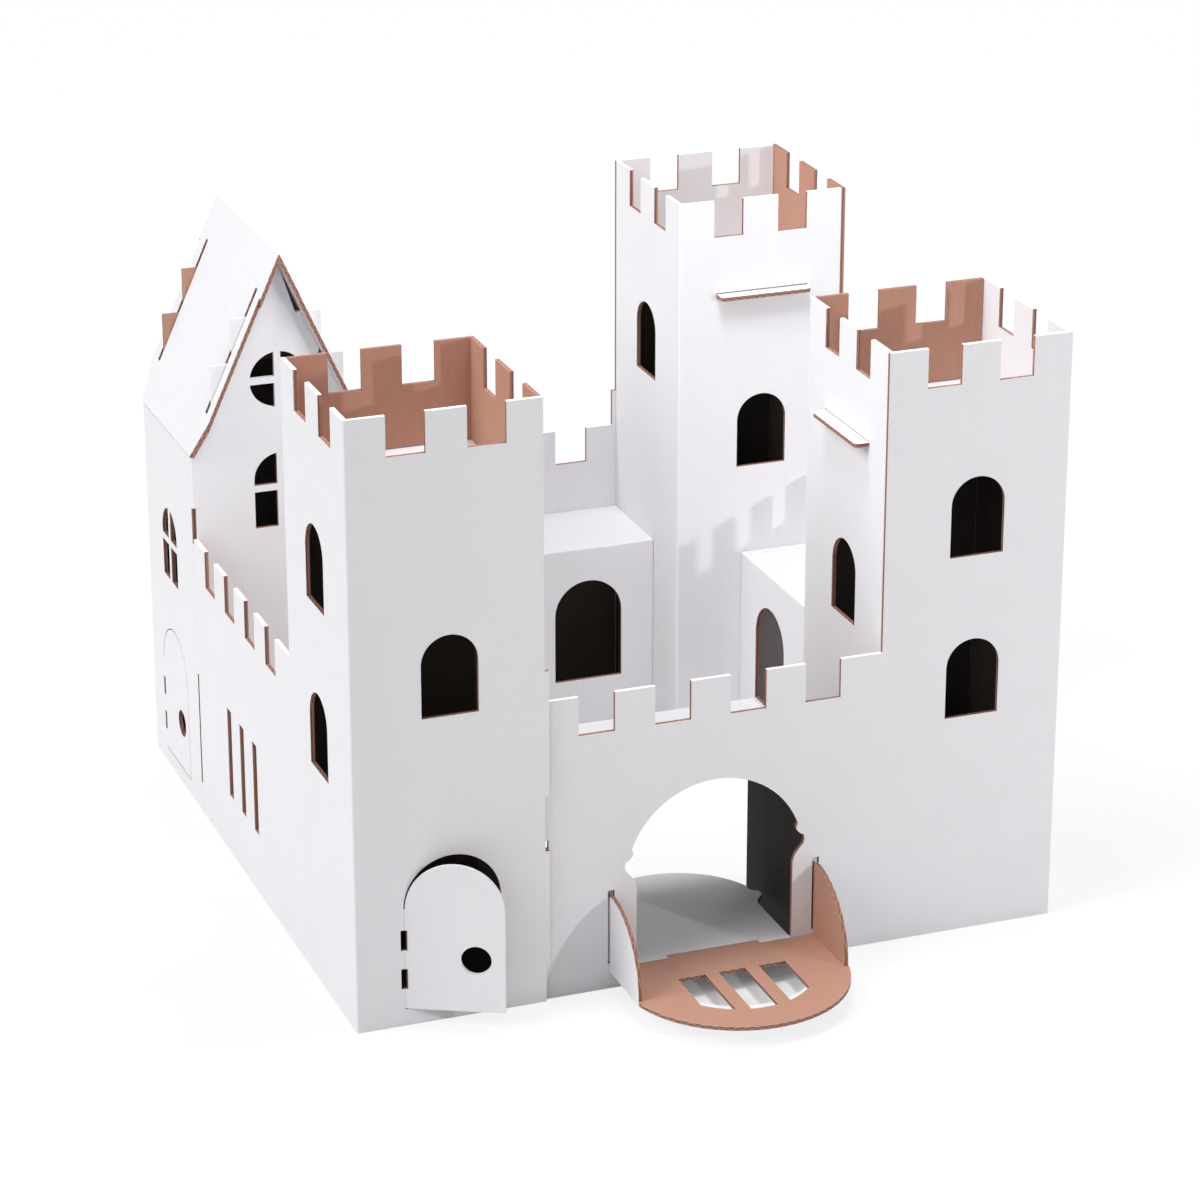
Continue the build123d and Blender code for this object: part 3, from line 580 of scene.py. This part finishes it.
class CASTLE_OT_outer_sheets(CastleOperator, bpy.types.Operator):
    """Dress the curtain, the low walls and the outer sides of the front towers"""

    bl_idname = "castle.outer_sheets"
    bl_label = "Outer sheets"

    def execute(self, context):
        leaf_out = Vector((-math.sin(DOOR_ANGLE), -math.cos(DOOR_ANGLE), 0))
        hinge = Vector((DOOR_HINGE, 0, 0))
        make_sheet(
            "left_wall",
            [
                Panel(FRONT, (0, 0, 0), top=PAINTED_HIGHLIGHT),
                Panel(LEFT, (0, 0, 0), top=PAINTED_HIGHLIGHT),
                Panel(leaf_out, hinge, edge=WHITE),
            ],
            cuts=[((BOARD, 0, 0), RIGHT), ((0, BOARD, 0), BACK)],
            folds=[((0, 0, 0), UP)],
        )
        curtain_y = near_corner("front_wall").y
        flap_top = near_corner("drawbridge").z + BOARD
        make_sheet(
            "front_wall",
            [
                Panel(FRONT, (0, curtain_y, 0), top=PAINTED_HIGHLIGHT),
                Panel(UP, (0, 0, flap_top), flute=BACK),
            ],
            cuts=[((0, curtain_y + BOARD, 0), BACK)],
        )
        right_x = far_corner("right_wall").x
        # the wall's inner face is the white liner darkened as painted shade
        make_sheet("right_wall", [Panel(RIGHT, (right_x, 0, 0), inner=SHADED, top=PAINTED_HIGHLIGHT)])
        back_y = far_corner("back_wall").y
        make_sheet("back_wall", [Panel(BACK, (0, back_y, 0), inner=WHITE, top=PAINTED_HIGHLIGHT)])
        return {"FINISHED"}


class CASTLE_OT_tower_sheets(CastleOperator, bpy.types.Operator):
    """Dress the inner sheets of the front towers and the sheets of the keep"""

    bl_idname = "castle.tower_sheets"
    bl_label = "Tower sheets"

    def execute(self, context):
        far = far_corner("tower_1_inner")
        make_sheet(
            "tower_1_inner",
            [Panel(RIGHT, (far.x, 0, 0)), Panel(BACK, (0, far.y, 0))],
            cuts=[((far.x - BOARD, 0, 0), RIGHT), ((0, far.y - BOARD, 0), BACK)],
            folds=[((far.x, far.y, 0), UP)],
        )
        near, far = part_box("tower_2_inner")
        make_sheet(
            "tower_2_inner",
            [Panel(LEFT, (near.x, 0, 0), top=PAINTED_HIGHLIGHT), Panel(BACK, (0, far.y, 0))],
            cuts=[((near.x + BOARD, 0, 0), RIGHT), ((0, far.y - BOARD, 0), BACK)],
            folds=[((near.x, far.y, 0), UP)],
        )
        near = near_corner("keep_front")
        make_sheet(
            "keep_front",
            [
                # the keep's front is the white liner lightened as a painted highlight
                Panel(FRONT, (0, near.y, 0), outer=PAINTED_HIGHLIGHT, top=PAINTED_HIGHLIGHT),
                Panel(LEFT, (near.x, 0, 0), top=PAINTED_HIGHLIGHT),
            ],
            cuts=[((near.x + BOARD, 0, 0), RIGHT), ((0, near.y + BOARD, 0), BACK)],
            folds=[((near.x, near.y, 0), UP)],
        )
        make_sheet("keep_right", [Panel(RIGHT, (far_corner("keep_right").x, 0, 0))])
        return {"FINISHED"}


class CASTLE_OT_house(CastleOperator, bpy.types.Operator):
    """Dress the gabled house and its slotted roof"""

    bl_idname = "castle.house"
    bl_label = "House and roof"

    def execute(self, context):
        near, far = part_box("house")
        make_sheet(
            "house",
            [
                # the house's front is the white liner lightened as a painted highlight
                Panel(FRONT, (0, near.y, 0), outer=PAINTED_HIGHLIGHT, edge=WHITE, edge_from=STEP_FOOT),
                Panel(BACK, (0, far.y, 0)),
                Panel(LEFT, (near.x, 0, 0)),
                Panel(RIGHT, (far.x, 0, 0)),
            ],
            cuts=[((near.x + BOARD, 0, 0), RIGHT), ((far.x - BOARD, 0, 0), RIGHT)],
            folds=[((x, y, 0), UP) for x in (near.x, far.x) for y in (near.y, far.y)],
        )
        low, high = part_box("roof")
        ridge = Vector(((low.x + high.x) / 2, 0, high.z))
        left_out = Vector((-ROOF_SLOPE, 0, 1)).normalized()
        right_out = Vector((ROOF_SLOPE, 0, 1)).normalized()
        make_sheet(
            "roof",
            [
                # the roof's underside is the white liner darkened as painted shade
                Panel(left_out, ridge, flute=BACK, inner=SHADED),
                Panel(right_out, ridge, flute=BACK, inner=SHADED),
            ],
            cuts=[(ridge, RIGHT)],
            folds=[(ridge, BACK)],
        )
        return {"FINISHED"}


class CASTLE_OT_rooms(CastleOperator, bpy.types.Operator):
    """Dress the hall, the passage and the gate lining"""

    bl_idname = "castle.rooms"
    bl_label = "Hall, passage and gate lining"

    def execute(self, context):
        near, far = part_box("hall")
        make_sheet(
            "hall",
            # the hall's front is the white liner lightened as a painted highlight
            [Panel(FRONT, (0, near.y, 0), outer=PAINTED_HIGHLIGHT), Panel(UP, (0, 0, far.z), flute=BACK)],
            cuts=[((0, near.y + BOARD, 0), BACK), ((0, 0, far.z - BOARD), UP)],
            folds=[((0, near.y, far.z), RIGHT)],
        )
        near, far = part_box("passage")
        make_sheet(
            "passage",
            [Panel(LEFT, (near.x, 0, 0)), Panel(UP, (0, 0, far.z), flute=RIGHT)],
            cuts=[((near.x + BOARD, 0, 0), RIGHT), ((0, 0, far.z - BOARD), UP)],
            folds=[((near.x, 0, far.z), BACK)],
        )
        near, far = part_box("gate_lining")
        make_sheet(
            "gate_lining",
            [
                Panel(LEFT, (near.x, 0, 0)),
                Panel(RIGHT, (far.x, 0, 0)),
                Panel(UP, (0, 0, far.z), flute=RIGHT),
            ],
            cuts=[
                ((near.x + BOARD, 0, 0), RIGHT),
                ((far.x - BOARD, 0, 0), RIGHT),
                ((0, 0, far.z - BOARD), UP),
            ],
            folds=[((near.x, 0, far.z), BACK), ((far.x, 0, far.z), BACK)],
        )
        return {"FINISHED"}


class CASTLE_OT_drawbridge(CastleOperator, bpy.types.Operator):
    """Dress the drawbridge with its kraft face up and its cheeks folded from it"""

    bl_idname = "castle.drawbridge"
    bl_label = "Drawbridge"

    def execute(self, context):
        near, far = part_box("drawbridge")
        plate_top = near.z + BOARD
        make_sheet(
            "drawbridge",
            [
                Panel(UP, (0, 0, plate_top), flute=BACK, outer=KRAFT, inner=WHITE),
                Panel(LEFT, (near.x, 0, 0)),
                Panel(RIGHT, (far.x, 0, 0)),
            ],
            cuts=[
                ((near.x + BOARD, 0, 0), RIGHT),
                ((far.x - BOARD, 0, 0), RIGHT),
                ((0, 0, plate_top), UP),
            ],
        )
        return {"FINISHED"}


class CASTLE_OT_decks(CastleOperator, bpy.types.Operator):
    """Dress the decks inside the towers and the keep"""

    bl_idname = "castle.decks"
    bl_label = "Decks"

    def execute(self, context):
        for name in ("deck_1", "deck_2", "deck_3"):
            flute = RIGHT if name == "deck_2" else BACK
            make_sheet(name, [Panel(UP, (0, 0, far_corner(name).z), flute=flute)])
        return {"FINISHED"}


class CASTLE_OT_stage(CastleOperator, bpy.types.Operator):
    """Set up the pale floor, the soft lamps and the camera"""

    bl_idname = "castle.stage"
    bl_label = "Studio"

    def execute(self, context):
        scene = context.scene
        settings = scene.castle_stage
        deselect_all()
        self.lay_floor(scene, settings)
        self.fill_air(scene, settings)
        middle = (CAD_BOX[0] + CAD_BOX[1]) / 2
        self.near_lamp("low_right_lamp", settings.key, middle + KEY_PLACE, middle, KEY_SIZE)
        self.near_lamp("courtyard_lamp", settings.yard, middle + YARD_PLACE, middle + YARD_AIM, YARD_SIZE)
        self.lamp("left_lamp", settings.fill, FILL_FROM)
        self.lamp("back_lamp", settings.rim, RIM_FROM)
        self.place_camera(scene, settings)
        scene.view_settings.view_transform = "Standard"
        return {"FINISHED"}

    def lay_floor(self, scene, settings):
        """A floor that the camera sees nearly white, and that keeps the castle's shadow, with painted shade
        where it lies inside the closed rooms.
        """
        bpy.ops.mesh.primitive_plane_add(size=FLOOR_SIZE, location=(*FLOOR_MIDDLE, CAD_BOX[0].z))
        floor = bpy.context.object
        floor.name = "studio_floor"
        material, tree, shader = new_material("floor_paper", 0.9, 0.0)
        seen = seen_directly(tree)
        glow = node(tree, "ShaderNodeEmission", Color=(1.0, 1.0, 1.0, 1.0), Strength=1.0)
        place = tree.nodes.new("ShaderNodeTexCoord").outputs["Object"]
        indoors = self.indoors(tree, place, floor.location)
        colour = mixed(tree, seen, rgba(settings.bounce), rgba(settings.floor))
        # painted shade: the floor inside the closed rooms takes the rooms' dark colour
        colour = mixed(tree, indoors, colour, rgba(scene.castle_board.deep))
        tree.links.new(colour, shader.inputs["Base Color"])
        covered = maths(tree, "MAXIMUM", indoors, self.under_grate(tree, place, floor))
        open_floor = maths(tree, "SUBTRACT", 1.0, covered)
        washed = maths(tree, "MULTIPLY", maths(tree, "MULTIPLY", seen, settings.wash), open_floor)
        lit = node(tree, "ShaderNodeMixShader", _0=washed)
        tree.links.new(shader.outputs["BSDF"], lit.inputs[1])
        tree.links.new(glow.outputs[0], lit.inputs[2])
        tree.links.new(lit.outputs[0], tree.nodes["Material Output"].inputs["Surface"])
        floor.data.materials.append(material)

    def fill_air(self, scene, settings):
        """Air that looks white and lights the castle at the ambient strength."""
        world = bpy.data.worlds.new("studio_air")
        scene.world = world
        world.use_nodes = True
        tree = world.node_tree
        tree.nodes.clear()
        seen = seen_directly(tree)
        strength = ramp(tree, seen, 0.0, 1.0, settings.ambient, 1.0)
        air = node(tree, "ShaderNodeBackground", Color=(1.0, 1.0, 1.0, 1.0), Strength=strength)
        output = tree.nodes.new("ShaderNodeOutputWorld")
        tree.links.new(air.outputs[0], output.inputs["Surface"])

    def place_camera(self, scene, settings):
        """The camera at the photograph's viewing angle."""
        camera = bpy.data.cameras.new("castle_camera")
        camera.lens = settings.lens
        camera.sensor_width = 36.0
        camera.clip_end = 100.0
        holder = bpy.data.objects.new("castle_camera", camera)
        scene.collection.objects.link(holder)
        holder.location = settings.camera_place
        holder.rotation_euler = settings.camera_turn
        scene.camera = holder

    def indoors(self, tree, place, middle):
        """One where the floor lies in one of the castle's closed rooms, and nought outside."""
        split = node(tree, "ShaderNodeSeparateXYZ", Vector=place)
        inside = 0.0
        for room in ROOMS[:-1]:
            factors = []
            for axis in (0, 1):
                half = (room.high[axis] - room.low[axis]) / 2
                centre = (room.high[axis] + room.low[axis]) / 2 - middle[axis]
                away = maths(tree, "ABSOLUTE", maths(tree, "SUBTRACT", split.outputs[axis], centre))
                factors.append(maths(tree, "LESS_THAN", away, half))
            inside = maths(tree, "MULTIPLY_ADD", factors[0], factors[1], inside)
        return inside

    def under_grate(self, tree, place, floor):
        """One where the floor is seen through the drawbridge's grate, and nought elsewhere."""
        near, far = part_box("drawbridge")
        across = (near.x + far.x) / 2 + GRATE_SIDE
        grate = Vector((across, GRATE_BEHIND, floor.location.z)) - floor.location
        apart = node(tree, "ShaderNodeVectorMath", _0=place, _1=grate)
        apart.operation = "DISTANCE"
        return maths(tree, "LESS_THAN", apart.outputs["Value"], GRATE_REACH)

    def near_lamp(self, name, power, place, target, size):
        """A round lamp near the castle, so that what stands nearer to it is brighter."""
        bpy.ops.object.light_add(type="AREA", location=place)
        lamp = bpy.context.object
        lamp.name = name
        lamp.data.shape = "DISK"
        lamp.data.size = size
        lamp.data.energy = power
        lamp.visible_camera = False
        lamp.rotation_euler = (place - target).to_track_quat("Z", "Y").to_euler()

    def lamp(self, name, strength, direction):
        """A distant lamp shining from that direction, with soft shadows."""
        bpy.ops.object.light_add(type="SUN", location=direction)
        lamp = bpy.context.object
        lamp.name = name
        lamp.data.energy = strength
        lamp.data.angle = SOFTNESS
        lamp.rotation_euler = direction.to_track_quat("Z", "Y").to_euler()


class CASTLE_PT_sidebar(bpy.types.Panel):
    """The castle's pieces and settings"""

    bl_label = "Cardboard castle"
    bl_idname = "CASTLE_PT_sidebar"
    bl_space_type = "VIEW_3D"
    bl_region_type = "UI"
    bl_category = "Castle"

    def draw(self, context):
        layout = self.layout
        for settings in (context.scene.castle_board, context.scene.castle_stage):
            box = layout.box()
            for name in settings.__annotations__:
                box.prop(settings, name)
        for operator in OPERATORS:
            layout.operator(operator.bl_idname)


OPERATORS = (
    CASTLE_OT_outer_sheets,
    CASTLE_OT_tower_sheets,
    CASTLE_OT_house,
    CASTLE_OT_rooms,
    CASTLE_OT_drawbridge,
    CASTLE_OT_decks,
    CASTLE_OT_stage,
)
CLASSES = (CastleBoardSettings, CastleStageSettings, *OPERATORS, CASTLE_PT_sidebar)


def register():
    """Registers the settings, operators and sidebar."""
    for cls in CLASSES:
        bpy.utils.register_class(cls)
    bpy.types.Scene.castle_board = bpy.props.PointerProperty(type=CastleBoardSettings)
    bpy.types.Scene.castle_stage = bpy.props.PointerProperty(type=CastleStageSettings)


def unregister():
    """Takes the settings, operators and sidebar out again."""
    del bpy.types.Scene.castle_stage
    del bpy.types.Scene.castle_board
    for cls in reversed(CLASSES):
        bpy.utils.unregister_class(cls)


def main():
    """Dresses the castle piece by piece."""
    register()
    bpy.ops.castle.outer_sheets()
    bpy.ops.castle.tower_sheets()
    bpy.ops.castle.house()
    bpy.ops.castle.rooms()
    bpy.ops.castle.drawbridge()
    bpy.ops.castle.decks()
    bpy.ops.castle.stage()


if __name__ == "__main__":
    main()
